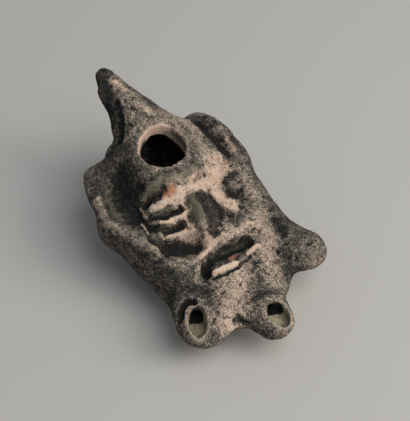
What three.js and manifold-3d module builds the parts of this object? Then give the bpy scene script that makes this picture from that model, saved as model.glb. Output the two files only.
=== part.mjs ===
// A terracotta oil lamp moulded as a grotesque head that looks up and forwards.
// The oil goes in through a hole on top of the skull, a pinched lug at the back is the handle,
// and three nozzles fan out below the chin. The middle and left ones are pierced for a wick.
// Millimetres, +Z up. The nozzles point to -Y, the handle to +Y, and the lamp rests on z = 0.
import * as THREE from "three";
import { mergeVertices } from "three/addons/utils/BufferGeometryUtils.js";
import Module from "manifold-3d";

const wasm = await Module();
wasm.setup();

const vec = (x, y, z) => new THREE.Vector3(x, y, z);
const degrees = THREE.MathUtils.degToRad;

// Driving dimensions
const WALL = 4.5; // fired clay between the oil chamber and the outside
const CROWN_HEIGHT = 41; // top of the skull, round the filling hole
const NOZZLE_HEIGHT = 13; // middle of the nozzles, halfway up their thickness
const BLEND = 5; // how softly one mass of clay runs into the next
const DISH_BLEND = 5; // how softly an ear's dish is pressed in
const NOSE_BLEND = 2;
const BASE_ROUNDING = 1.5; // soft edge of the flat underside

// The masses of clay. A lump is an ellipsoid, and a limb is a cone with round ends.
const BOWL = { centre: vec(1.5, -4, 13), radii: vec(24.5, 31, 11.5) };
const FOOT = { centre: vec(0.5, -4, 3), radii: vec(17, 21, 6) };
const SKULL = { centre: vec(1.5, 13, 22), radii: vec(21, 21, CROWN_HEIGHT - 22) };
const FACE = { centre: vec(0.5, -8, 17), radii: vec(21, 20, 9.5), tilt: 40 };
const CHIN_DECK = { centre: vec(0.5, -27, 12), radii: vec(18, 16, 6) };
const NOSE = { centre: vec(0, -11.5, 26), radii: vec(5.4, 7.5, 4.6), tilt: 40 };
const HANDLE = { from: vec(2.9, 27, 34.3), to: vec(0.9, 45, 43.8), r0: 12.9, r1: 3.9 };
const NOZZLES = [
  { from: vec(0, -24, NOZZLE_HEIGHT), to: vec(-0.8, -47.5, NOZZLE_HEIGHT), r0: 9, r1: 7, flat: 1.5 },
  { from: vec(-10, -18, NOZZLE_HEIGHT), to: vec(-18.9, -35.2, NOZZLE_HEIGHT), r0: 10, r1: 8.8, flat: 1.6 },
  { from: vec(12, -15, 16.5), to: vec(22.8, -33.4, 16.5), r0: 12.5, r1: 7.6, flat: 1.5 },
];
const EARS = [
  { centre: vec(-17, 11.2, 24), radii: vec(7.8, 19.2, 8), lean: -20 },
  { centre: vec(21.5, 14, 27), radii: vec(8, 14, 7), lean: 20 },
];
const EAR_DISHES = [
  { centre: vec(-19, 9, 33), radii: vec(7, 14, 6), lean: -25 },
  { centre: vec(21, 10, 34), radii: vec(6, 12, 6), lean: 25 },
];
// The hood's rim runs down from each ear, beside the face, to the side nozzles.
const RIMS = [
  { from: vec(-22, 6, 21), to: vec(-15, -18.5, 15), r0: 6.4, r1: 5.8 },
  { from: vec(22.4, 4, 24), to: vec(19, -17, 18), r0: 5.6, r1: 5.4 },
];

// Carving, as strokes seen from above: a groove is pressed down, a ridge stands up.
// The strokes of the left half are mirrored to the right, where the face is more worn.
const WORN = 0.6;
const PAIRED_STROKES = [
  { from: [-13, 3.6], to: [-2, 0.8], half: 3, lift: 1.1 }, // brow
  { from: [-12.6, 1], to: [-6.6, -1.2], half: 2.2, lift: -1.3 }, // fold under the brow
  { from: [-12.8, -3.6], to: [-5.6, -5.4], half: 2.2, lift: -1.3 }, // slit of the eye
  { from: [-13.8, -7.6], to: [-6.8, -9.6], half: 2.2, lift: -1.2 }, // fold under the eye
  { from: [-14.4, -13], to: [-8, -15], half: 4.6, lift: -2.2 }, // sunken cheek
  { from: [-4.2, -15.4], to: [-3.4, -12.6], half: 2.4, lift: 1 }, // wing of the nose
];
const SINGLE_STROKES = [
  { from: [-17, 3], to: [-16.4, -11], half: 3.4, lift: -1.4 }, // valley between face and hood
  { from: [-24, 0], to: [-19.4, -11], half: 3.2, lift: 1 }, // hood's rim, left
  { from: [-19.4, -11], to: [-14.6, -19], half: 3, lift: 1 },
  { from: [-10.6, -20], to: [10.6, -20], half: 2.6, lift: 0.9 }, // upper lip
  { from: [-10.6, -23.6], to: [10.6, -23.6], half: 3.8, lift: -1.7 }, // open mouth
  { from: [-8, -28.4], to: [9, -28.4], half: 3, lift: 0.5 }, // lower lip
];
const CARVING_FLOOR = 14; // the carving stays on the upper half of the mould

// The openings are cut straight down. The wick holes are oval, with radii across and along the
// nozzle, and a round way leads from each to the chamber.
const SIDES = 24;
const FILLING_HOLE = { at: vec(0.4, 12, CROWN_HEIGHT), r: 7.5, depth: 16 };
const CHANNEL_RADIUS = 2.2;
const CHANNEL_HEIGHT = NOZZLE_HEIGHT + 1.4; // a channel starts on the floor of its wick hole
const WICK_HOLES = [
  { at: vec(0.5, -48.2, CHANNEL_HEIGHT), across: 3.5, along: 4.8, turn: -10, inner: vec(0, -22, 12) },
  { at: vec(-21.5, -36.1, CHANNEL_HEIGHT), across: 3, along: 5, turn: -29, inner: vec(-10, -16, 12) },
];
const CLEARANCE = 12; // how far a cutter stands out above the clay

// Rays from a point low inside the lamp shape its skin. Each band of rows ends at an angle from +Z.
const CORE = vec(0, -10, 9.5);
const SKIN = {
  meridians: 100,
  bands: [
    { upTo: 48, rows: 16 },
    { upTo: 68, rows: 11 },
    { upTo: 98, rows: 12 },
    { upTo: 118, rows: 3 },
    { upTo: 180, rows: 1 },
  ],
};
const CHAMBER = { meridians: 26, bands: [{ upTo: 180, rows: 11 }] };
const FARTHEST = 90; // beyond every point of the lamp
const STRIDE = 0.5; // share of the distance that a ray moves in at each step
const CLOSE_ENOUGH = 1e-3;
const FLAT_WITHIN = 0.01; // points this near the ground lie on it
const OUTLINE_SAMPLES = 720;
const OUTLINE_ANGLES = [58, 84]; // through the handle, and through the nozzles

// Distance to an ellipsoid that is tilted about X and leans about Y, in degrees.
function lump({ centre, radii, tilt = 0, lean = 0 }) {
  const turn = new THREE.Quaternion().setFromEuler(new THREE.Euler(degrees(tilt), degrees(lean), 0));
  const toUnit = new THREE.Matrix4().compose(centre, turn, radii).invert();
  const slopes = new THREE.Matrix3().setFromMatrix4(toUnit).transpose();
  const local = vec(0, 0, 0);
  return (p) => {
    const reach = local.copy(p).applyMatrix4(toUnit).length();
    const slope = local.applyMatrix3(slopes).length();
    return slope === 0 ? -Math.min(...radii) : (reach * (reach - 1)) / slope;
  };
}

// Distance to a cone with a ball of radius r0 at one end and r1 at the other, pressed flat in Z.
function limb({ from, to, r0, r1, flat = 1 }) {
  const axis = to.clone().sub(from);
  axis.z *= flat;
  const length = axis.length();
  axis.normalize();
  const sine = (r0 - r1) / length;
  const cosine = Math.sqrt(1 - sine * sine);
  const local = vec(0, 0, 0);
  return (p) => {
    local.copy(p).sub(from);
    local.z *= flat;
    const along = local.dot(axis);
    const across = Math.sqrt(Math.max(0, local.lengthSq() - along * along));
    const nearest = THREE.MathUtils.clamp(along + (across * sine) / cosine, 0, length);
    const radius = THREE.MathUtils.lerp(r0, r1, nearest / length);
    return (Math.hypot(along - nearest, across) - radius) / flat;
  };
}

// Softly joins two distances, and softly cuts the second out of the first.
function join(a, b, soft = BLEND) {
  const overlap = Math.max(soft - Math.abs(a - b), 0) / soft;
  return Math.min(a, b) - (overlap * overlap * soft) / 4;
}
const cut = (a, b, soft) => -join(-a, b, soft);

// Height of one carved stroke at a place seen from above, fading to nothing at its edge.
function stroke({ from, to, half, lift }) {
  const start = new THREE.Vector2(...from);
  const run = new THREE.Vector2(...to).sub(start);
  const offset = new THREE.Vector2();
  return (x, y) => {
    offset.set(x, y).sub(start);
    const share = THREE.MathUtils.clamp(offset.dot(run) / run.lengthSq(), 0, 1);
    const away = offset.addScaledVector(run, -share).length() / half;
    return away < 1 ? lift * (1 - away * away) ** 2 : 0;
  };
}
const worn = ({ from, to, half, lift }) => ({
  from: [-from[0], from[1]],
  to: [-to[0], to[1]],
  half,
  lift: WORN * lift,
});

const masses = [
  ...[BOWL, FOOT, SKULL, FACE, CHIN_DECK, ...EARS].map(lump),
  ...[HANDLE, ...NOZZLES, ...RIMS].map(limb),
];
const earDishes = EAR_DISHES.map(lump);
const nose = lump(NOSE);
const strokes = [...PAIRED_STROKES, ...PAIRED_STROKES.map(worn), ...SINGLE_STROKES].map(stroke);

// Distance to the plain head, without its carving.
function clay(p) {
  let d = masses.map((mass) => mass(p)).reduce((a, b) => join(a, b));
  d = join(d, nose(p), NOSE_BLEND);
  for (const dish of earDishes) d = cut(d, dish(p), DISH_BLEND);
  return cut(d, p.z, BASE_ROUNDING);
}

function carvedClay(p) {
  if (p.z < CARVING_FLOOR) return clay(p);
  const lift = strokes.reduce((sum, height) => sum + height(p.x, p.y), 0);
  return clay(vec(p.x, p.y, p.z - lift));
}

const hollow = (p) => clay(p) + WALL;

function rayAt(polar, around) {
  const side = Math.sin(polar);
  return vec(side * Math.sin(around), -side * Math.cos(around), Math.cos(polar));
}

// How far out along a ray from CORE the field ends: a march inwards, then a halving search.
function reachOf(field, ray) {
  const distance = (reach) => field(CORE.clone().addScaledVector(ray, reach));
  let outer = FARTHEST;
  let inner = outer;
  for (let d = distance(inner); d > 0; d = distance(inner)) {
    outer = inner;
    inner -= Math.max(STRIDE * d, CLOSE_ENOUGH);
  }
  while (outer - inner > CLOSE_ENOUGH) {
    const middle = (outer + inner) / 2;
    if (distance(middle) > 0) outer = middle;
    else inner = middle;
  }
  return inner;
}

// Angles around the lamp, closer together where its outline stands far out, as at the nozzles.
function spreadMeridians(field, count) {
  const turn = (i) => (2 * Math.PI * i) / OUTLINE_SAMPLES;
  const lengths = [0];
  for (let i = 0; i < OUTLINE_SAMPLES; i++) {
    const reaches = OUTLINE_ANGLES.map((polar) => reachOf(field, rayAt(degrees(polar), turn(i + 0.5))));
    lengths.push(lengths[i] + Math.max(...reaches));
  }
  const angles = [];
  let k = 0;
  for (let i = 0; i <= count; i++) {
    const wanted = (lengths[OUTLINE_SAMPLES] * i) / count;
    while (k < OUTLINE_SAMPLES - 1 && lengths[k + 1] < wanted) k++;
    angles.push(turn(k + (wanted - lengths[k]) / (lengths[k + 1] - lengths[k])));
  }
  return angles;
}

// Angles from +Z, evenly spread within each band.
function spreadRows(bands) {
  const angles = [0];
  for (const { upTo, rows } of bands) {
    const from = angles.at(-1);
    for (let i = 1; i <= rows; i++) angles.push(THREE.MathUtils.lerp(from, degrees(upTo), i / rows));
  }
  return angles;
}

// A closed grid whose points sit where rays from CORE leave the given field.
function skinOf(field, { meridians, bands }) {
  const polars = spreadRows(bands);
  const arounds = spreadMeridians(field, meridians);
  const geometry = new THREE.SphereGeometry(1, meridians, polars.length - 1);
  const points = geometry.getAttribute("position");
  for (let i = 0; i < points.count; i++) {
    const row = Math.floor(i / (meridians + 1));
    const ray = rayAt(polars[row], arounds[i % (meridians + 1)]);
    const p = CORE.clone().addScaledVector(ray, reachOf(field, ray));
    points.setXYZ(i, p.x, p.y, p.z < FLAT_WITHIN ? 0 : p.z);
  }
  return geometry;
}

function solid(geometry) {
  geometry.deleteAttribute("normal");
  geometry.deleteAttribute("uv");
  const merged = mergeVertices(geometry, 1e-4);
  return new wasm.Manifold(
    new wasm.Mesh({
      numProp: 3,
      vertProperties: new Float32Array(merged.attributes.position.array),
      triVerts: new Uint32Array(merged.index.array),
    }),
  );
}

// A round cutter from one point to another.
function rod(from, to, r) {
  const axis = to.clone().sub(from);
  const turn = new THREE.Quaternion().setFromUnitVectors(vec(0, 1, 0), axis.clone().normalize());
  const geometry = new THREE.CylinderGeometry(r, r, axis.length(), SIDES);
  geometry.applyQuaternion(turn);
  geometry.translate(...from.clone().lerp(to, 0.5));
  return solid(geometry);
}

const above = (p, height) => p.clone().setZ(p.z + height);

function fillingHole({ at, r, depth }) {
  return rod(above(at, -depth), above(at, CLEARANCE), r);
}

function wickHole({ at, across, along, turn, inner }) {
  const shaft = new THREE.CylinderGeometry(1, 1, CLEARANCE, SIDES);
  shaft.rotateX(Math.PI / 2);
  shaft.scale(across, along, 1);
  shaft.rotateZ(degrees(turn));
  shaft.translate(...above(at, CLEARANCE / 2 - CHANNEL_RADIUS));
  return solid(shaft).add(rod(at, inner, CHANNEL_RADIUS));
}

let lamp = solid(skinOf(carvedClay, SKIN));
lamp = lamp.subtract(solid(skinOf(hollow, CHAMBER)));
lamp = lamp.subtract(fillingHole(FILLING_HOLE));
for (const hole of WICK_HOLES) lamp = lamp.subtract(wickHole(hole));

const { vertProperties, triVerts } = lamp.getMesh();
const geometry = new THREE.BufferGeometry();
geometry.setAttribute("position", new THREE.BufferAttribute(vertProperties, 3));
geometry.setIndex(new THREE.BufferAttribute(triVerts, 1));
geometry.computeVertexNormals();

const clayFinish = new THREE.MeshStandardMaterial({ color: 0x3f3c37, roughness: 0.85, metalness: 0 });
const body = new THREE.Mesh(geometry, clayFinish);
body.name = "lamp_body";
const group = new THREE.Group();
group.add(body);
export default group;
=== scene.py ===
import math

import bmesh
import bpy
import numpy as np
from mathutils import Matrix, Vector, noise


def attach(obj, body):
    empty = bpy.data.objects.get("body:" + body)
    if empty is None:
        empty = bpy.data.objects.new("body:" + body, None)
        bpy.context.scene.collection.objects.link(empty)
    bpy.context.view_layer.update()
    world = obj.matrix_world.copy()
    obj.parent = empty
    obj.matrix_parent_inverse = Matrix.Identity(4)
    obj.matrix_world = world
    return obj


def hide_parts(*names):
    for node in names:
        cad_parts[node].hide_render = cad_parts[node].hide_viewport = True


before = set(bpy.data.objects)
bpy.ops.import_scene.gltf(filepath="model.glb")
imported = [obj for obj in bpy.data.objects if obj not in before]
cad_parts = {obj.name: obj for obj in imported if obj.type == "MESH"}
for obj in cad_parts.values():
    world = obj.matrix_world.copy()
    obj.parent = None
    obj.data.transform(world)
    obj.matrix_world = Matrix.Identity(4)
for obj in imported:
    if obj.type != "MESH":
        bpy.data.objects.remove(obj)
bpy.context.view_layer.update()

mm = 0.001

# The holes of the solid, in millimetres as seen from above: centre, radii across and along, turn.
holes = {
    "filling": {"at": (0.4, 12), "radii": (7.5, 7.5), "turn": 0},
    "middleWick": {"at": (0.5, -48.2), "radii": (3.5, 4.8), "turn": -10},
    "leftWick": {"at": (-21.5, -36.1), "radii": (3, 5), "turn": -29},
}

# The lamp's skin: a copy of the solid, remeshed fine and evened out before it is worked.
skin = {
    "node": "lamp_body",
    "voxel": 0.45 * mm,
    "evenRounds": 26,  # smoothing passes that take the facets away
    "smoothShare": 0.5,
    "crispRim": 0.12,  # share of the smoothing left at the edge of a hole
    "rimBand": (0.6, 2.2),  # how near to a hole's edge that is, in millimetres
    "rimSteps": 10,
    "weld": 0.01 * mm,
    "core": (0, -10, 9.5),  # a point inside the oil chamber, in millimetres
    "inward": -2,  # below this a point is on the chamber's walls
    "chamberShare": 0.1,  # faces kept on the chamber's walls, which are plain
    # smoothing passes that tell ridges from hollows, and the height that counts as a full ridge; the broad
    # form layer is painted shading, lighter on ridges and darker in hollows
    "wear": {"wear": (14, 0.25), "formShade": (150, 0.5)},
}


def bakeModifiers(obj):
    graph = bpy.context.evaluated_depsgraph_get()
    mesh = bpy.data.meshes.new_from_object(obj.evaluated_get(graph))
    old = obj.data
    obj.modifiers.clear()
    obj.data = mesh
    bpy.data.meshes.remove(old)


def readVectors(mesh, what):
    values = np.empty(len(mesh.vertices) * 3, dtype=np.float32)
    mesh.vertices.foreach_get(what, values)
    return values.reshape(-1, 3).astype(float)


def readPoints(obj):
    return readVectors(obj.data, "co") / mm


def writePoints(obj, points):
    obj.data.vertices.foreach_set("co", (points * mm).astype(np.float32).ravel())
    obj.data.update()


def fade(values, low, high):
    share = np.clip((values - low) / (high - low), 0, 1)
    return share * share * (3 - 2 * share)


def noiseAt(points, size, seed=0):
    places = (points / size + np.array((17.3, 5.1, 9.7)) * (seed + 1)).tolist()
    return np.array([noise.noise(p) for p in places])


def ringShare(points, hole):
    # 0 at the middle of a hole, 1 at its edge
    turn = math.radians(hole["turn"])
    x, y = points[:, 0] - hole["at"][0], points[:, 1] - hole["at"][1]
    across = x * math.cos(turn) + y * math.sin(turn)
    along = y * math.cos(turn) - x * math.sin(turn)
    return np.hypot(across / hole["radii"][0], along / hole["radii"][1])


def outwardness(points, normals):
    # the chamber's walls face the core, the outside faces away from it
    return np.sum(normals * (points - np.array(skin["core"])), axis=1)


def thinChamber(obj):
    inward = outwardness(readPoints(obj), readVectors(obj.data, "normal")) < skin["inward"]
    group = obj.vertex_groups.new(name="chamber")
    group.add([int(i) for i in np.nonzero(inward)[0]], 1.0, "REPLACE")
    thin = obj.modifiers.new("thin", "DECIMATE")
    thin.vertex_group = "chamber"
    thin.ratio = 1 - inward.mean() * (1 - skin["chamberShare"])
    bakeModifiers(obj)
    obj.vertex_groups.clear()


def evenOut(obj):
    # facets go, but the edges of the holes stay crisp
    points = readPoints(obj)
    nearRim = np.zeros(len(points))
    for hole in holes.values():
        width = min(hole["radii"])
        away = np.abs(ringShare(points, hole) - 1) * width
        nearRim = np.maximum(nearRim, 1 - fade(away, *skin["rimBand"]))
    group = obj.vertex_groups.new(name="even")
    steps = skin["rimSteps"]
    for step in range(steps + 1):
        chosen = np.nonzero(np.round(nearRim * steps) == step)[0]
        weight = 1 - (1 - skin["crispRim"]) * step / steps
        group.add([int(i) for i in chosen], weight, "REPLACE")
    even = obj.modifiers.new("even", "SMOOTH")
    even.iterations = skin["evenRounds"]
    even.factor = skin["smoothShare"]
    even.vertex_group = "even"
    bakeModifiers(obj)
    obj.vertex_groups.clear()


def makeSkin():
    bm = bmesh.new()
    bm.from_mesh(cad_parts[skin["node"]].data)
    bmesh.ops.remove_doubles(bm, verts=bm.verts, dist=skin["weld"])
    mesh = bpy.data.meshes.new("terracotta_lamp")
    bm.to_mesh(mesh)
    bm.free()
    obj = bpy.data.objects.new("terracotta_lamp", mesh)
    bpy.context.scene.collection.objects.link(obj)
    remesh = obj.modifiers.new("remesh", "REMESH")
    remesh.mode = "VOXEL"
    remesh.voxel_size = skin["voxel"]
    bakeModifiers(obj)
    evenOut(obj)
    thinChamber(obj)
    obj.data.shade_smooth()
    print("skin:", len(obj.data.vertices), "points,", len(obj.data.polygons), "faces")
    return obj


# Relief worked into the skin, as strokes seen from above in millimetres: a lift below nought is a groove.
relief = {
    "floor": (12, 15),  # the strokes fade out between these heights
    "facing": (-0.3, 0.2),  # and where the clay faces down
    "outside": (0, 3),
    "foot": (0.3, 3),  # the lumps fade out above the underside
    "waviness": (2.4, 0.5),  # size and reach of the unevenness of a stroke's edge
    "strokes": [
        {"path": [(-13.6, 2.8), (-10, 1.2), (-7.4, 0.6)], "half": 1.7, "lift": -1.3},  # fold under the brow
        {"path": [(-12, 0.4), (-6, -2.2), (1, -3.2)], "half": 1.8, "lift": 0.5},  # upper lid
        {"path": [(-14.6, -1.6), (-10, -4.4), (-6.4, -5.6)], "half": 1.3, "lift": -1.0},  # slit of the eye
        {"path": [(-11.6, -5.8), (-8.2, -6.2), (-4.5, -7.4)], "half": 1.3, "lift": 0.5},  # lower lid
        {"path": [(-15.8, -4.4), (-11.6, -7.6), (-7.8, -9)], "half": 1.4, "lift": -1.0},  # under the eye
        {"path": [(-14, -8.6), (-8.4, -10.8), (-5, -13)], "half": 1.3, "lift": 0.3},  # edge of the cheek
        {"path": [(-14, -10.8), (-10.4, -13.2), (-7, -15.2)], "half": 4.2, "lift": -0.9},  # sunken cheek
        {"path": [(-12.4, 5), (-6, 2), (1, -0.4), (8, 0.4)], "half": 2.2, "lift": 0.9},  # brow
        {"path": [(1.8, -6), (0.6, -10), (-0.6, -13.6)], "half": 4.6, "lift": 1.5},  # broad nose
        {"path": [(-2.8, -4.8), (-5, -9.4), (-4.6, -13.8)], "half": 1.2, "lift": -0.4},  # left of the nose
        {"path": [(5.4, -7), (6, -11), (3.4, -16)], "half": 1.5, "lift": -0.8},  # right of the nose
        {"path": [(-4.4, -15), (-1, -17.2), (3, -16.4)], "half": 1.3, "lift": -0.6},  # under the nose
        {"path": [(15.2, -5.6), (16.2, -5.8)], "half": 2.4, "lift": 0.9},  # right eyeball
        {"path": [(12.6, -4), (15.8, -2.2), (19, -2.6)], "half": 1.8, "lift": -0.6},  # right upper lid
        {"path": [(11.8, -7.4), (14.4, -9), (18, -8)], "half": 1.8, "lift": -0.4},  # right lower lid
        {"path": [(-9.9, -25.2), (-8.3, -22.4), (-5, -21.6), (3.3, -22.6), (8.8, -23.4)],
         "half": 2, "lift": -1.7},  # open mouth
        {"path": [(-7.6, -26.5), (-0.8, -27.8)], "half": 1.4, "lift": 1.3},  # lower lip, left stretch
        {"path": [(5.3, -26.6), (9.2, -26.4)], "half": 1.2, "lift": 1.1},  # lower lip, right stretch
        {"path": [(-9, -28), (-5.2, -29), (-0.7, -29.2), (5, -28.2)],
         "half": 0.9, "lift": -0.7},  # under the lip
        {"path": [(-23, 15.9), (-25.4, 6.8), (-24.2, 0.7), (-22, -5.4), (-19.2, -11.6)],
         "half": 2.2, "lift": 1.0},  # edge of the hood, left
        {"path": [(-14, 16), (-17, 10), (-18, 3), (-16.8, -3)], "half": 5, "lift": -0.9},  # dish of the ear
        {"path": [(-14.9, 3.6), (-15.4, -0.6)], "half": 0.7, "lift": 0.35},  # crease beside the eye
        {"path": [(-17.1, -0.2), (-17.9, -5.5)], "half": 0.7, "lift": 0.35},  # lower crease
        {"path": [(-16, 2.5), (-16.8, -3), (-18.6, -8)], "half": 1, "lift": -0.5},  # between the creases
        {"path": [(-19, -7.6), (-16.6, -12.4), (-15.4, -17.8), (-12, -21)],
         "half": 1.2, "lift": -0.6},  # line round the cheek
        {"path": [(22.6, 19.8), (24.2, 19.6)], "half": 2.2, "lift": 1.2},  # knob on the right ear
        {"path": [(16.4, 18), (17.6, 12), (16.8, 6)], "half": 4.6, "lift": 2.2},  # saddle by the ear
        {"path": [(25.6, 14), (25, 9), (24.4, 5)], "half": 1.8, "lift": 0.5},  # edge of the right ear
        {"path": [(-24.9, -32), (-23, -29.4), (-20.3, -28.6), (-18.6, -30.2)],
         "half": 1.6, "lift": -1.7},  # crescent round the left wick hole
        {"path": [(-1.9, 34.4), (-3.6, 29.4), (-7.2, 25)], "half": 1.5, "lift": -0.9},  # handle's crease
        {"path": [(-3.6, 41.4), (-5, 39)], "half": 2.8, "lift": 1.5},  # lump on the handle's edge
        {"path": [(-6, 35.6), (-7, 33.6)], "half": 1.6, "lift": -0.7},  # dent below it
        {"path": [(-8.6, 30.6), (-9.4, 28.6)], "half": 2, "lift": 0.9},  # lower lump
        {"path": [(-9.8, -44.5), (-10.4, -42)], "half": 2.4, "lift": -1.6},  # notch between the nozzles
    ],
    # broken edge of the filling hole, between two angles, with the waver of its width
    "chip": {"from": 40, "to": 158, "soft": 14, "width": 0.7, "depth": 0.5, "reach": -0.8,
             "heights": (34, 37), "waverSize": 3, "waver": 0.35, "seed": 12},
    "lip": {"at": 1.25, "width": 1.1, "lift": 0.15},  # clay pushed up round the wick holes
    "lumps": [(9, 0.4), (4, 0.25), (1.8, 0.14), (0.9, 0.08)],  # sizes and heights
    "lumpSeed": 3,
    "pits": {"size": 1.5, "range": (0.28, 0.6), "depth": 0.35, "seed": 9},
}
wickHoles = ("middleWick", "leftWick")


def wavy(points):
    size, reach = relief["waviness"]
    sway = []
    for seed in (1, 2):  # one sway along x and one along y
        sway.append(noiseAt(points, size, seed) + 0.5 * noiseAt(points, size / 3, seed))
    return points[:, :2] + reach * np.stack(sway).T


def strokeShare(places, path, half):
    # how far out from a path each place lies: 0 on it, 1 at the stroke's edge
    nearest = np.full(len(places), np.inf)
    for start, end in zip(path, path[1:]):
        run = np.subtract(end, start)
        offset = places - np.array(start)
        share = np.clip(offset @ run / (run @ run), 0, 1)
        nearest = np.minimum(nearest, np.hypot(*(offset - share[:, None] * run).T))
    return nearest / half


def angleAround(points, hole):
    return np.degrees(np.arctan2(points[:, 1] - hole["at"][1], points[:, 0] - hole["at"][0]))


def workRelief(obj):
    points = readPoints(obj)
    normals = readVectors(obj.data, "normal")
    outside = fade(outwardness(points, normals), *relief["outside"])
    places = wavy(points)
    upper = fade(points[:, 2], *relief["floor"]) * fade(normals[:, 2], *relief["facing"]) * outside
    lift = np.zeros(len(points))
    for stroke in relief["strokes"]:
        share = np.clip(strokeShare(places, stroke["path"], stroke["half"]), 0, 1)
        lift += stroke["lift"] * (1 - share * share) ** 2 * upper
    lip = relief["lip"]
    for name in wickHoles:
        gap = (ringShare(points, holes[name]) - lip["at"]) * min(holes[name]["radii"]) / lip["width"]
        lift += lip["lift"] * (1 - np.clip(np.abs(gap), 0, 1) ** 2) * upper
    raised = outside * fade(points[:, 2], *relief["foot"])
    for seed, (size, height) in enumerate(relief["lumps"], relief["lumpSeed"]):
        lift += height * noiseAt(points, size, seed) * raised
    pits = relief["pits"]
    lift -= pits["depth"] * fade(noiseAt(points, pits["size"], pits["seed"]), *pits["range"]) * upper
    points = points + normals * lift[:, None]

    # the broken edge of the filling hole slopes into it
    chip, hole = relief["chip"], holes["filling"]
    around = angleAround(points, hole)
    broken = fade(around, chip["from"] - chip["soft"], chip["from"] + chip["soft"])
    broken *= 1 - fade(around, chip["to"] - chip["soft"], chip["to"] + chip["soft"])
    out = (ringShare(points, hole) - 1) * hole["radii"][0]
    width = chip["width"] * (1 + chip["waver"] * noiseAt(points, chip["waverSize"], chip["seed"]))
    slope = np.clip(1 - np.maximum(out, 0) / width, 0, 1) * (out > chip["reach"])
    points[:, 2] -= chip["depth"] * slope * broken * fade(points[:, 2], *chip["heights"])
    writePoints(obj, points)
    print("relief:", len(relief["strokes"]), "strokes")
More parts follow.
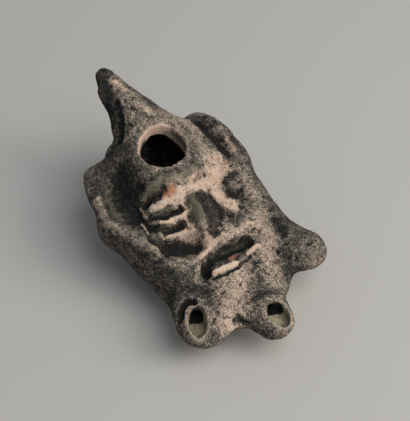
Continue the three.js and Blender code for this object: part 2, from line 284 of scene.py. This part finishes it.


# What lies on the clay, with painted shade and painted light among it, as strokes seen from above: a black
# slip under all of it, then these.
paint = {
    # a stroke is full up to the first share of its half width and ends at the second
    "soft": (0.1, 1.45),
    "crisp": (0.6, 1.05),
    "floor": (11, 14),  # the strokes fade out between these heights
    "facing": (-0.5, 0),  # and where the clay faces down
    "bareClay": [
        {"path": [(17, 2.4), (12.5, -0.4), (8.6, -3)], "half": 3.6, "amount": 0.85},  # forehead
        {"path": [(7.4, -3.6), (8.4, -7.2), (11.2, -11.3)], "half": 2.5},  # right of the nose
        {"path": [(6, -3.2), (-1.8, -2.9), (-5.9, -2)], "half": 3.1},  # upper lid
        {"path": [(-5.9, -2), (-12, 0.2)], "half": 2.0, "edge": "crisp"},  # its left end
        {"path": [(-4.2, -7.2), (-8.2, -6.3), (-11.6, -5.8)], "half": 2.0, "edge": "crisp"},  # lower lid
        {"path": [(-3.6, -4.6), (-5.6, -8.8), (-5.8, -12.4)], "half": 2.3},  # left of the nose
        {"path": [(-3.2, -15.6), (-5.6, -12.6), (-8.6, -10.6)], "half": 2.0},  # edge of the cheek
        {"path": [(-8.4, -10.6), (-14.4, -8.2)], "half": 0.9, "amount": 0.65},  # its thin left end
        {"path": [(-1.7, -17.4), (-4.7, -18.8), (-6.4, -19.6)], "half": 2.2, "amount": 0.8},  # by the nose
        {"path": [(1.4, -17.8), (6, -18.4), (11, -18)], "half": 3.0, "amount": 0.4},  # upper lip
        {"path": [(-7.6, -26.5), (-0.8, -27.8)], "half": 1.4, "amount": 0.78, "edge": "crisp"},  # lower lip
        {"path": [(5.3, -26.6), (9.2, -26.5)], "half": 1.2, "amount": 0.72, "edge": "crisp"},  # right end
        {"path": [(12.6, -21), (13, -26), (9, -33)], "half": 4.0, "amount": 0.38},  # right of the mouth
        {"path": [(-2, -32), (-9, -37), (-13, -41)], "half": 5.0, "amount": 0.48},  # below the mouth
        {"path": [(1.6, 41), (3, 36)], "half": 1.2, "amount": 0.5},  # ridge of the handle
        {"path": [(3.6, 28.4), (4.6, 24.6)], "half": 1.3, "amount": 0.5},  # root of the handle
        {"path": [(24, 9.6), (23.4, 5.4)], "half": 1.5, "amount": 0.5},  # edge of the right ear
        {"path": [(-14.9, 3.6), (-15.4, -0.6)], "half": 0.4, "amount": 0.6},  # crease beside the eye
        {"path": [(-17.1, -0.2), (-17.9, -5.5)], "half": 0.4, "amount": 0.75},  # lower crease
    ],
    "earth": [
        {"path": [(-3, -31), (-8, -36), (-9, -40)], "half": 7.5, "amount": 0.75},  # below the mouth
        {"path": [(-14, -41), (-8, -36)], "half": 4.5, "amount": 0.8},  # by the left wick hole
        {"path": [(15.6, -17), (13.6, -23.7), (10.6, -30), (7.4, -37.5)],
         "half": 4.6, "amount": 0.85},  # right jaw
        {"path": [(1, -18.4), (9, -17), (16, -14)], "half": 5.0, "amount": 0.75},  # right cheek
        {"path": [(13, 0), (19, -4), (19, -12)], "half": 5.0, "amount": 0.62},  # round the right eye
        {"path": [(-9, -17.6), (-3, -19)], "half": 2.6, "amount": 0.6},  # left of the mouth
        {"path": [(2.2, 40.6), (3.4, 30), (6, 21)], "half": 3.2, "amount": 0.62},  # handle, right side
        {"path": [(-1, 27), (0, 22.6), (-5, 22)], "half": 3.0, "amount": 0.66},  # behind the filling hole
        {"path": [(10, 22), (15, 16), (14, 5), (11, 2)], "half": 5.2, "amount": 0.85},  # right of the hole
        {"path": [(-9, 6.8), (-4.6, 4), (3, 2.8), (9, 3.4)],
         "half": 2.6, "amount": 0.36},  # front of the crown
        {"path": [(-23.5, 15), (-25.2, 6.8), (-24, 0.7), (-21.8, -5.4), (-18.8, -11.2)],
         "half": 1.9, "amount": 0.32},  # edge of the hood
        {"path": [(24, 18), (23.6, 12), (23, 3)], "half": 3.0, "amount": 0.3},  # right ear
        {"path": [(-16.4, -14), (-13, -20), (-10, -20.8), (-13.5, -25.5)],
         "half": 1.8, "amount": 0.6},  # below the left cheek
        {"path": [(19, -30), (23.4, -38)], "half": 5, "amount": 0.24},  # blind nozzle
        {"path": [(5, -42), (2.6, -54)], "half": 1.6, "amount": 0.66},  # round the middle wick hole
    ],
    "film": [
        {"path": [(-0.6, -6), (-2.6, -9), (-2.6, -14.2)], "half": 2.7, "edge": "crisp"},  # nose, left side
        {"path": [(-17.4, 18.4), (-20.6, 11.6), (-22.6, 4.8), (-22, -1.2), (-19.4, -7)],
         "half": 2.0, "amount": 0.66},  # ledge of the ear
        {"path": [(-12.6, 3.8), (-8.2, 2)], "half": 1.5, "amount": 0.9},  # under the brow
        {"path": [(-13.4, -1.4), (-8, -4)], "half": 0.9, "amount": 0.8},  # under the upper lid
        {"path": [(-8, 3.6), (-0.4, 0.6), (6.6, 0.8)], "half": 2.4, "amount": 0.8},  # brow
        {"path": [(14.1, -12.1), (11.2, -15.2), (8.1, -15)], "half": 2.6, "amount": 0.62},  # right cheek
        {"path": [(15.2, -5.6), (16.2, -6)], "half": 2.6, "amount": 0.7},  # right eyeball
        {"path": [(-5, -20.6), (0, -21), (6, -22)], "half": 1.5, "amount": 0.7},  # upper lip
        {"path": [(-22.6, -26), (-25, -29.4)], "half": 1.8, "amount": 0.6},  # above the left wick hole
    ],
    # black layer: soot, and painted shade in the sunken cheek, the ear's dish and inside the filling hole
    "sootAndShade": [
        {"path": [(1.8, -7.4), (1.6, -11), (0, -15.4)], "half": 2.9, "edge": "crisp"},  # nose, right side
        {"path": [(3, -9), (2.8, -13)], "half": 2.5, "edge": "crisp"},  # nostril
        {"path": [(5.6, -11.2), (8.7, -14)], "half": 1.1, "amount": 0.6},  # fold beside the nose
        {"path": [(-13.6, 2.8), (-10, 1.2), (-7.8, 0.6)], "half": 1.2, "edge": "crisp"},  # under the brow
        {"path": [(-14.8, -1.8), (-10, -4.4), (-5.4, -5.7)], "half": 1.1, "edge": "crisp"},  # eye slit
        {"path": [(-15.8, -4.4), (-11.6, -7.5), (-6.8, -9.2)], "half": 1.5, "edge": "crisp"},  # eye fold
        # painted shade in the sunken cheek
        {"path": [(-14.7, -10), (-10.6, -12.2), (-7, -14.4)], "half": 3.2, "amount": 0.42},  # sunken cheek
        {"path": [(-12.7, -13.6), (-9, -15.4)], "half": 2.8, "amount": 0.36},  # its lower part
        {"path": [(-9.9, -25.2), (-8.3, -22.4), (-5.5, -21.8)], "half": 1.9},  # mouth
        {"path": [(-5.5, -21.8), (-1.2, -22.4), (3.3, -23), (8.5, -23.6)],
         "half": 1.5, "amount": 0.8},  # mouth, right part
        {"path": [(-9.2, -28), (-5.2, -29), (-0.7, -29.2)], "half": 0.6, "amount": 0.9},  # under the lip
        # painted shade in the dish of the ear
        {"path": [(-12.6, 15), (-15.6, 9), (-16.6, 2)], "half": 6, "amount": 0.62},  # dish of the ear
        {"path": [(0.4, 46), (-1.8, 44), (-3.6, 39), (-5.4, 33)],
         "half": 3.4, "amount": 0.95, "edge": "crisp"},  # left side of the handle
        {"path": [(1.6, 44.4), (1, 42.6)], "half": 2.4, "amount": 0.8},  # tip of the handle
        {"path": [(-2, 34.4), (-3.8, 29.4), (-7, 25)], "half": 1.4, "amount": 0.9},  # crease of the handle
        {"path": [(13.4, -4), (15.9, -2.7), (18, -3)], "half": 2.0, "amount": 0.5},  # over the right eye
        {"path": [(13.2, -4.8), (12.8, -7)], "half": 1.5, "amount": 0.36},  # inner corner of it
        {"path": [(13, -8.2), (16, -8.6)], "half": 1.5, "amount": 0.32},  # under it
        {"path": [(21.2, 19.8), (25, 18.8)], "half": 2.2, "amount": 0.9},  # knob on the right ear
        {"path": [(27, 10), (26, 2)], "half": 1.6, "amount": 0.7},  # outer edge of that ear
        {"path": [(19.4, -22.6), (18.6, -28)], "half": 2.4, "amount": 0.9},  # root of the blind nozzle
        {"path": [(-20.4, -14.5), (-20, -21), (-24, -25), (-27.6, -34)],
         "half": 3.0, "amount": 0.6},  # jaw
        {"path": [(-25.4, -32.6), (-23.2, -29.4), (-20.3, -28.4), (-18.4, -30)], "half": 1.5},  # crescent
        {"path": [(-15, -27), (-13.6, -30.4)], "half": 1.6, "amount": 0.6},  # patch left of the mouth
        {"path": [(-8.5, -44), (-7.3, -47.9), (-5.6, -52)], "half": 2.4, "amount": 0.65},  # middle nozzle
        {"path": [(-2.4, -40), (1.6, -41), (5.4, -42.4)], "half": 1.4, "amount": 0.7},  # root of it
        {"path": [(-18.2, -36), (-20, -42)], "half": 1.2, "amount": 0.6},  # right of the left wick hole
        {"path": [(-6, 22), (-8, 14), (-10, 8)], "half": 4, "amount": 0.3},  # left of the filling hole
    ],
    "rust": [
        {"path": [(-7.2, -0.2), (-5, -0.8)], "half": 1.5, "amount": 0.95},  # under the brow
        {"path": [(13.4, 3.4), (11.2, 1.2)], "half": 1.2, "amount": 0.55},  # forehead
        {"path": [(0, -24.6), (1.6, -25.2)], "half": 1.1, "amount": 0.8},  # mouth
        {"path": [(13.4, -24.6), (12.6, -27)], "half": 1.2, "amount": 0.5},  # right of the mouth
    ],
    # the filling hole: painted shade makes its wall black below the edge, and painted light makes one side
    # lighter
    "filling": {"wall": (1.0, 1.06), "depth": (0.5, 1.5), "edgeBand": (1.15, 1.4), "edgeFacing": 0.5},
    # painted light: a lighter patch on one side of the filling hole's wall
    "litWall": {"towards": (1, 0.1), "reach": (3, 7), "heights": (18, 27), "amount": 0.8},
    # the wick holes: khaki silt, black where the channel opens, and a pale edge on the outer side
    "wick": {"wall": (1.0, 1.12), "heights": (16, 17.4), "inner": (0.45, 0.89), "black": (2.3, 3.2),
             "edgeAt": 1.1, "edgeWidth": 3, "edgeSoft": (0.1, 0.6), "edgeEnd": (-1, 3),
             "edgeHeights": (14, 15), "edgeAmount": 0.5},
    # bare clay on the broken edge of the filling hole
    "chipped": {"start": (-12, 8), "end": (-8, 14), "out": (0, 0.6), "in": (-1.2, -0.4),
                "depth": (0.8, 1.6), "waverSize": 2, "waver": 0.5, "seed": 12, "tint": 0.5},
    # and below the nozzles
    "underside": {"facing": (-0.75, -0.2), "along": (-16, -8), "amount": 0.8},
}


def setLayer(obj, name, values):
    layer = obj.data.attributes.new(name, "FLOAT", "POINT")
    layer.data.foreach_set("value", values.astype(np.float32))


def ridgeHeightOf(obj, points, rounds, unit):
    calm = obj.copy()
    calm.data = obj.data.copy()
    bpy.context.scene.collection.objects.link(calm)
    smooth = calm.modifiers.new("smooth", "SMOOTH")
    smooth.iterations = rounds
    smooth.factor = skin["smoothShare"]
    bakeModifiers(calm)
    height = np.sum((points - readPoints(calm)) * readVectors(calm.data, "normal"), axis=1)
    mesh = calm.data
    bpy.data.objects.remove(calm)
    bpy.data.meshes.remove(mesh)
    return np.clip(height / unit, -1, 1)


def rimHeight(points, normals, share):
    # height of the sloping crown round the filling hole, as a plane through its edge
    nearest, furthest = paint["filling"]["edgeBand"]
    edge = (share > nearest) & (share < furthest) & (normals[:, 2] > paint["filling"]["edgeFacing"])
    across = np.column_stack([points[:, :2], np.ones(len(points))])
    slope = np.linalg.lstsq(across[edge], points[edge, 2], rcond=None)[0]
    return across @ slope


def strokeLayers(points, normals):
    upper = fade(points[:, 2], *paint["floor"]) * fade(normals[:, 2], *paint["facing"])
    places = wavy(points)
    layers = {"siltAndLitWall": np.zeros(len(points))}
    for name in ("bareClay", "earth", "film", "sootAndShade", "rust"):
        values = np.zeros(len(points))
        for stroke in paint[name]:
            share = strokeShare(places, stroke["path"], stroke["half"])
            edge = paint[stroke.get("edge", "soft")]
            values = np.maximum(values, stroke.get("amount", 1) * (1 - fade(share, *edge)))
        layers[name] = values * upper
    return layers


def addTo(layers, name, values):
    layers[name] = np.maximum(layers[name], values)


def paintFillingHole(layers, points, share, depth):
    lit = paint["litWall"]
    # painted shade: the hole's wall black below the edge
    deep = (1 - fade(share, *paint["filling"]["wall"])) * fade(depth, *paint["filling"]["depth"])
    addTo(layers, "sootAndShade", deep)
    side = points[:, :2] - np.array(holes["filling"]["at"])
    # painted light: a lighter patch on one side of the wall, in silt colour
    litPatch = deep * fade(side @ np.array(lit["towards"]), *lit["reach"])
    litPatch *= fade(points[:, 2], *lit["heights"])
    layers["sootAndShade"] *= 1 - litPatch
    addTo(layers, "siltAndLitWall", lit["amount"] * litPatch)


def paintWickHole(layers, points, hole):
    wick = paint["wick"]
    share = ringShare(points, hole)
    inner = (points[:, :2] - np.array(hole["at"])) @ np.array(wick["inner"])
    inside = (1 - fade(share, *wick["wall"])) * (1 - fade(points[:, 2], *wick["heights"]))
    black = inside * fade(inner, *wick["black"])
    for name in ("sootAndShade", "earth", "bareClay", "film"):
        layers[name] *= 1 - inside
    addTo(layers, "siltAndLitWall", inside - black)
    addTo(layers, "sootAndShade", black)
    edge = 1 - fade(np.abs(share - wick["edgeAt"]) * wick["edgeWidth"], *wick["edgeSoft"])
    edge *= 1 - fade(inner, *wick["edgeEnd"])
    addTo(layers, "earth", wick["edgeAmount"] * edge * fade(points[:, 2], *wick["edgeHeights"]))


def paintBareEdges(layers, points, normals, share, depth):
    chip, chipped, hole = relief["chip"], paint["chipped"], holes["filling"]
    around = angleAround(points, hole)
    broken = fade(around - chip["from"], *chipped["start"])
    broken *= 1 - fade(around - chip["to"], *chipped["end"])
    out = (share - 1) * hole["radii"][0]
    out += chipped["waver"] * noiseAt(points, chipped["waverSize"], chipped["seed"])
    broken *= (1 - fade(depth, *chipped["depth"])) * (1 - fade(out, *chipped["out"]))
    broken *= fade(out, *chipped["in"])
    addTo(layers, "bareClay", broken)
    under = paint["underside"]
    below = (1 - fade(normals[:, 2], *under["facing"])) * (1 - fade(points[:, 1], *under["along"]))
    addTo(layers, "bareClay", under["amount"] * below)
    layers["sootAndShade"] *= 1 - broken
    addTo(layers, "rust", chipped["tint"] * broken)


def layPaint(obj):
    points = readPoints(obj)
    normals = readVectors(obj.data, "normal")
    layers = strokeLayers(points, normals)
    share = ringShare(points, holes["filling"])
    depth = rimHeight(points, normals, share) - points[:, 2]
    paintFillingHole(layers, points, share, depth)
    for name in wickHoles:
        paintWickHole(layers, points, holes[name])
    paintBareEdges(layers, points, normals, share, depth)
    # ridge heights: the wear layer, and the broad form layer used for painted shading
    for name, (rounds, unit) in skin["wear"].items():
        layers[name] = ridgeHeightOf(obj, points, rounds, unit)
    for name, values in layers.items():
        setLayer(obj, name, values)
    print("paint:", len(layers), "layers")


# The clay's look: slip, film, earth, bare clay, soot with painted shade, silt with painted light, and rust
# over one another, with painted shading of ridges and hollows, in linear colour.
clay = {
    "grain": 2000,  # noise scales, in waves a metre
    "mottle": 560,
    "cloud": 85,
    "speck": 3000,
    "slip": ((0.011, 0.0112, 0.0105, 1), (0.066, 0.064, 0.056, 1)),
    "earth": ((0.11, 0.09, 0.070, 1), (0.45, 0.37, 0.29, 1)),
    "bareClay": ((0.28, 0.21, 0.16, 1), (0.68, 0.52, 0.395, 1)),
    "pinkClay": (0.47, 0.325, 0.255, 1),
    "siltAndLitWall": ((0.24, 0.215, 0.145, 1), (0.52, 0.465, 0.32, 1)),
    "film": ((0.048, 0.044, 0.033, 1), (0.20, 0.174, 0.125, 1)),
    "sootAndShade": ((0.005, 0.005, 0.0052, 1), (0.044, 0.041, 0.036, 1)),
    "rust": (0.50, 0.19, 0.10, 1),
    "speckColour": (0.40, 0.36, 0.30, 1),
    "roughness": 0.95,
    "gloss": 0.12,
    "bump": 0.22 * mm,
    # where each blend starts and ends, and how far it goes where that isn't all the way
    "blend": {
        "slip": (-1.8, 2.2), "film": (-1.8, 1.8), "earth": (-1.0, 2.4), "bareClay": (-1.9, 1.3),
        "sootAndShade": (-1.0, 2.4), "siltAndLitWall": (-1.6, 1.6), "pink": (-0.8, 1.4, 0.6), "smeared": (-0.7, 1.2, 0.9),
        "dusty": (-1.4, 1.8, 0.95), "opened": (-1.3, 1.6), "sootAndShadeShare": (-0.9, 1.3, 0.9),
        "siltAndLitWallShare": (0.1, 0.9, 0.95), "rusty": (-0.7, 1.1, 0.85), "flecked": (1.4, 2.4, 0.5),
        "hollowShade": (0.15, 1.5, 0.5),
    },
}


class Shade:
    # short ways to add nodes to one material
    def __init__(self, name):
        self.material = bpy.data.materials.new(name)
        self.material.use_nodes = True
        self.tree = self.material.node_tree
        self.shader = self.tree.nodes["Principled BSDF"]

    def feed(self, socket, value):
        if isinstance(value, bpy.types.NodeSocket):
            self.tree.links.new(value, socket)
        else:
            socket.default_value = value

    def noise(self, scale, detail, roughness=0.6):
        # noise spread about nought, mostly between -2 and 2
        coords = self.tree.nodes.new("ShaderNodeTexCoord")
        node = self.tree.nodes.new("ShaderNodeTexNoise")
        self.tree.links.new(coords.outputs["Object"], node.inputs["Vector"])
        node.inputs["Scale"].default_value = scale
        node.inputs["Detail"].default_value = detail
        node.inputs["Roughness"].default_value = roughness
        return self.sum((node.outputs["Fac"], 9.0), (-4.5, 1.0))

    def layer(self, name):
        node = self.tree.nodes.new("ShaderNodeAttribute")
        node.attribute_name = name
        return node.outputs["Fac"]

    def sum(self, *terms):
        # terms are pairs of a value and its share
        total = 0.0
        for value, share in terms:
            node = self.tree.nodes.new("ShaderNodeMath")
            node.operation = "MULTIPLY_ADD"
            self.feed(node.inputs[0], value)
            self.feed(node.inputs[1], share)
            self.feed(node.inputs[2], total)
            total = node.outputs[0]
        return total

    def blend(self, name, value):
        return self.ramp(value, *clay["blend"][name])

    def ramp(self, value, low, high, top=1.0):
        node = self.tree.nodes.new("ShaderNodeMapRange")
        node.interpolation_type = "SMOOTHSTEP"
        self.feed(node.inputs["Value"], value)
        self.feed(node.inputs["From Min"], low)
        self.feed(node.inputs["From Max"], high)
        self.feed(node.inputs["To Max"], top)
        return node.outputs["Result"]

    def mix(self, share, first, second):
        node = self.tree.nodes.new("ShaderNodeMix")
        node.data_type = "RGBA"
        self.feed(node.inputs["Factor"], share)
        self.feed(node.inputs["A"], first)
        self.feed(node.inputs["B"], second)
        return node.outputs["Result"]


def clayMaterial():
    shade = Shade("fired_clay_worn_slip")
    grain = shade.noise(clay["grain"], 2, 0.7)
    mottle = shade.noise(clay["mottle"], 4)
    cloud = shade.noise(clay["cloud"], 3)
    speck = shade.noise(clay["speck"], 1)
    bare, earth, film = shade.layer("bareClay"), shade.layer("earth"), shade.layer("film")
    sootAndShade, rust = shade.layer("sootAndShade"), shade.layer("rust")
    wear, formShade = shade.layer("wear"), shade.layer("formShade")
    siltAndLitWall = shade.layer("siltAndLitWall")
    uneven = shade.sum((grain, 0.75), (mottle, 0.35))

    # each sum says what the place or the tone of a layer depends on, and by how much; the form terms are
    # painted shading, lighter on broad ridges and darker in hollows
    tone = shade.sum((mottle, 0.4), (grain, 0.5), (formShade, 1.4))
    colour = shade.mix(shade.blend("slip", tone), *clay["slip"])
    smeared = shade.sum((film, 2.6), (mottle, 0.5), (-1.3, 1.0))
    filmTone = shade.sum((uneven, 1.0), (formShade, 0.8))
    filmColour = shade.mix(shade.blend("film", filmTone), *clay["film"])
    colour = shade.mix(shade.blend("smeared", smeared), colour, filmColour)

    # earth lies thicker where there is more of it and on worn ridges, with painted light from the form term
    # on the broad ridges
    stirred = shade.sum((uneven, shade.sum((earth, 0.5), (0.45, 1.0))))
    dusty = shade.sum((earth, 2.8), (wear, 0.5), (formShade, 0.9), (stirred, 1.0), (cloud, 0.2))
    dusty = shade.sum((sootAndShade, -0.9), (film, -1.3), (dusty, 1.0), (-1.4, 1.0))
    earthTone = shade.sum((uneven, 1.0), (earth, 0.8))
    earthColour = shade.mix(shade.blend("earth", earthTone), *clay["earth"])
    colour = shade.mix(shade.blend("dusty", dusty), colour, earthColour)

    # bare clay shows where the slip is worn off, but not through the film, with painted light from the form
    # term on the broad ridges
    opened = shade.sum((bare, 2.9), (uneven, 0.6), (wear, 0.4), (formShade, 0.5))
    opened = shade.sum((film, -1.5), (opened, 1.0), (-1.35, 1.0))
    bareTone = shade.sum((uneven, 1.0), (formShade, 0.7))
    bareColour = shade.mix(shade.blend("bareClay", bareTone), *clay["bareClay"])
    bareColour = shade.mix(shade.blend("pink", cloud), bareColour, clay["pinkClay"])
    colour = shade.mix(shade.blend("opened", opened), colour, bareColour)

    # the black layer: soot, and painted shade in hollows and inside the filling hole
    sootAndShadeShare = shade.sum((sootAndShade, 2.8), (uneven, -0.4), (wear, -0.4), (-1.35, 1.0))
    sootAndShadeTone = shade.sum((uneven, 1.0), (formShade, 0.6))
    sootAndShadeColour = shade.mix(shade.blend("sootAndShade", sootAndShadeTone), *clay["sootAndShade"])
    colour = shade.mix(shade.blend("sootAndShadeShare", sootAndShadeShare), colour, sootAndShadeColour)
    # silt in the wick holes, and painted light on one side of the filling hole's wall
    siltAndLitWallColour = shade.mix(shade.blend("siltAndLitWall", uneven), *clay["siltAndLitWall"])
    siltAndLitWallShare = shade.sum((siltAndLitWall, 1.0), (mottle, 0.08))
    colour = shade.mix(shade.blend("siltAndLitWallShare", siltAndLitWallShare), colour, siltAndLitWallColour)
    rusty = shade.sum((rust, 2.4), (uneven, 0.6), (-1.5, 1.0))
    colour = shade.mix(shade.blend("rusty", rusty), colour, clay["rust"])
    flecked = shade.sum((speck, 1.0), (wear, 0.25), (sootAndShade, -0.5), (earth, 0.4))
    colour = shade.mix(shade.blend("flecked", flecked), colour, clay["speckColour"])

    # painted shade darkens the hollows
    hollowShade = shade.sum((formShade, -1.0), (wear, -0.5), (uneven, -0.15))
    colour = shade.mix(shade.blend("hollowShade", hollowShade), colour, clay["slip"][0])

    shade.feed(shade.shader.inputs["Base Color"], colour)
    shade.shader.inputs["Roughness"].default_value = clay["roughness"]
    shade.shader.inputs["Specular IOR Level"].default_value = clay["gloss"]
    bump = shade.tree.nodes.new("ShaderNodeBump")
    bump.inputs["Distance"].default_value = clay["bump"]
    shade.feed(bump.inputs["Height"], shade.sum((uneven, 0.2), (0.5, 1.0)))
    shade.feed(shade.shader.inputs["Normal"], bump.outputs["Normal"])
    return shade.material


# The camera: where the photograph was taken from, with the lamp's middle at its pixel.
view = {
    "azimuth": -36.7,
    "elevation": 50.0,
    "distance": 480 * mm,
    "target": (0, -4 * mm, 20 * mm),
    "targetPixel": (192, 219),
    "pixelsPerMm": 3.1,
    "frame": (410, 421),
    "sensor": 36.0,
    "near": 10 * mm,
}


def makeCamera():
    turn, lift = math.radians(view["azimuth"]), math.radians(view["elevation"])
    back = Vector((math.sin(turn) * math.cos(lift), -math.cos(turn) * math.cos(lift), math.sin(lift)))
    right = Vector((math.cos(turn), math.sin(turn), 0))
    up = back.cross(right)
    perPixel = mm / view["pixelsPerMm"]
    width, height = view["frame"]
    aim = Vector(view["target"])
    aim += right * (width / 2 - view["targetPixel"][0]) * perPixel
    aim -= up * (height / 2 - view["targetPixel"][1]) * perPixel
    data = bpy.data.cameras.new("photo_camera")
    data.sensor_fit = "VERTICAL"
    data.sensor_height = view["sensor"]
    data.lens = view["distance"] / perPixel * view["sensor"] / height
    data.clip_start = view["near"]
    camera = bpy.data.objects.new("photo_camera", data)
    bpy.context.scene.collection.objects.link(camera)
    camera.location = aim + back * view["distance"]
    camera.rotation_euler = back.to_track_quat("Z", "Y").to_euler()
    bpy.context.scene.camera = camera
    print("camera: lens", round(data.lens, 1))


# Soft studio light: a wide overhead source, a weaker one from the right, and an even sky.
lights = {
    "sky": ((0.92, 0.95, 1.03), 0.33),
    "areas": [
        {"name": "overhead", "at": (0.12, -0.42, 0.82), "size": 0.7, "power": 4.9,
         "colour": (1.0, 0.985, 0.96)},
        {"name": "right", "at": (0.48, -0.55, 0.6), "size": 0.5, "power": 4.0,
         "colour": (1.0, 0.945, 0.87)},
    ],
    "floor": {"size": 3, "colour": (0.43, 0.424, 0.405, 1), "roughness": 0.9, "gloss": 0.1},
}


def makeStudio():
    world = bpy.data.worlds.new("studio")
    world.use_nodes = True
    sky = world.node_tree.nodes["Background"]
    colour, strength = lights["sky"]
    sky.inputs["Color"].default_value = (*colour, 1)
    sky.inputs["Strength"].default_value = strength
    bpy.context.scene.world = world
    for each in lights["areas"]:
        data = bpy.data.lights.new(each["name"], "AREA")
        data.shape = "DISK"
        data.size = each["size"]
        data.energy = each["power"]
        data.color = each["colour"]
        lamp = bpy.data.objects.new(each["name"], data)
        bpy.context.scene.collection.objects.link(lamp)
        lamp.location = each["at"]
        lamp.rotation_euler = Vector(each["at"]).to_track_quat("Z", "Y").to_euler()
    paper = lights["floor"]
    bm = bmesh.new()
    bmesh.ops.create_grid(bm, x_segments=1, y_segments=1, size=paper["size"])
    mesh = bpy.data.meshes.new("floor")
    bm.to_mesh(mesh)
    bm.free()
    floor = bpy.data.objects.new("floor", mesh)
    bpy.context.scene.collection.objects.link(floor)
    material = bpy.data.materials.new("floor_paper")
    material.use_nodes = True
    shader = material.node_tree.nodes["Principled BSDF"]
    shader.inputs["Base Color"].default_value = paper["colour"]
    shader.inputs["Roughness"].default_value = paper["roughness"]
    shader.inputs["Specular IOR Level"].default_value = paper["gloss"]
    mesh.materials.append(material)
    bpy.context.scene.view_settings.view_transform = "Standard"
    print("studio:", len(lights["areas"]), "lights")


makeCamera()
makeStudio()
clayLamp = makeSkin()
workRelief(clayLamp)
layPaint(clayLamp)
clayLamp.data.materials.clear()
clayLamp.data.materials.append(clayMaterial())
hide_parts("lamp_body")
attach(clayLamp, "root")
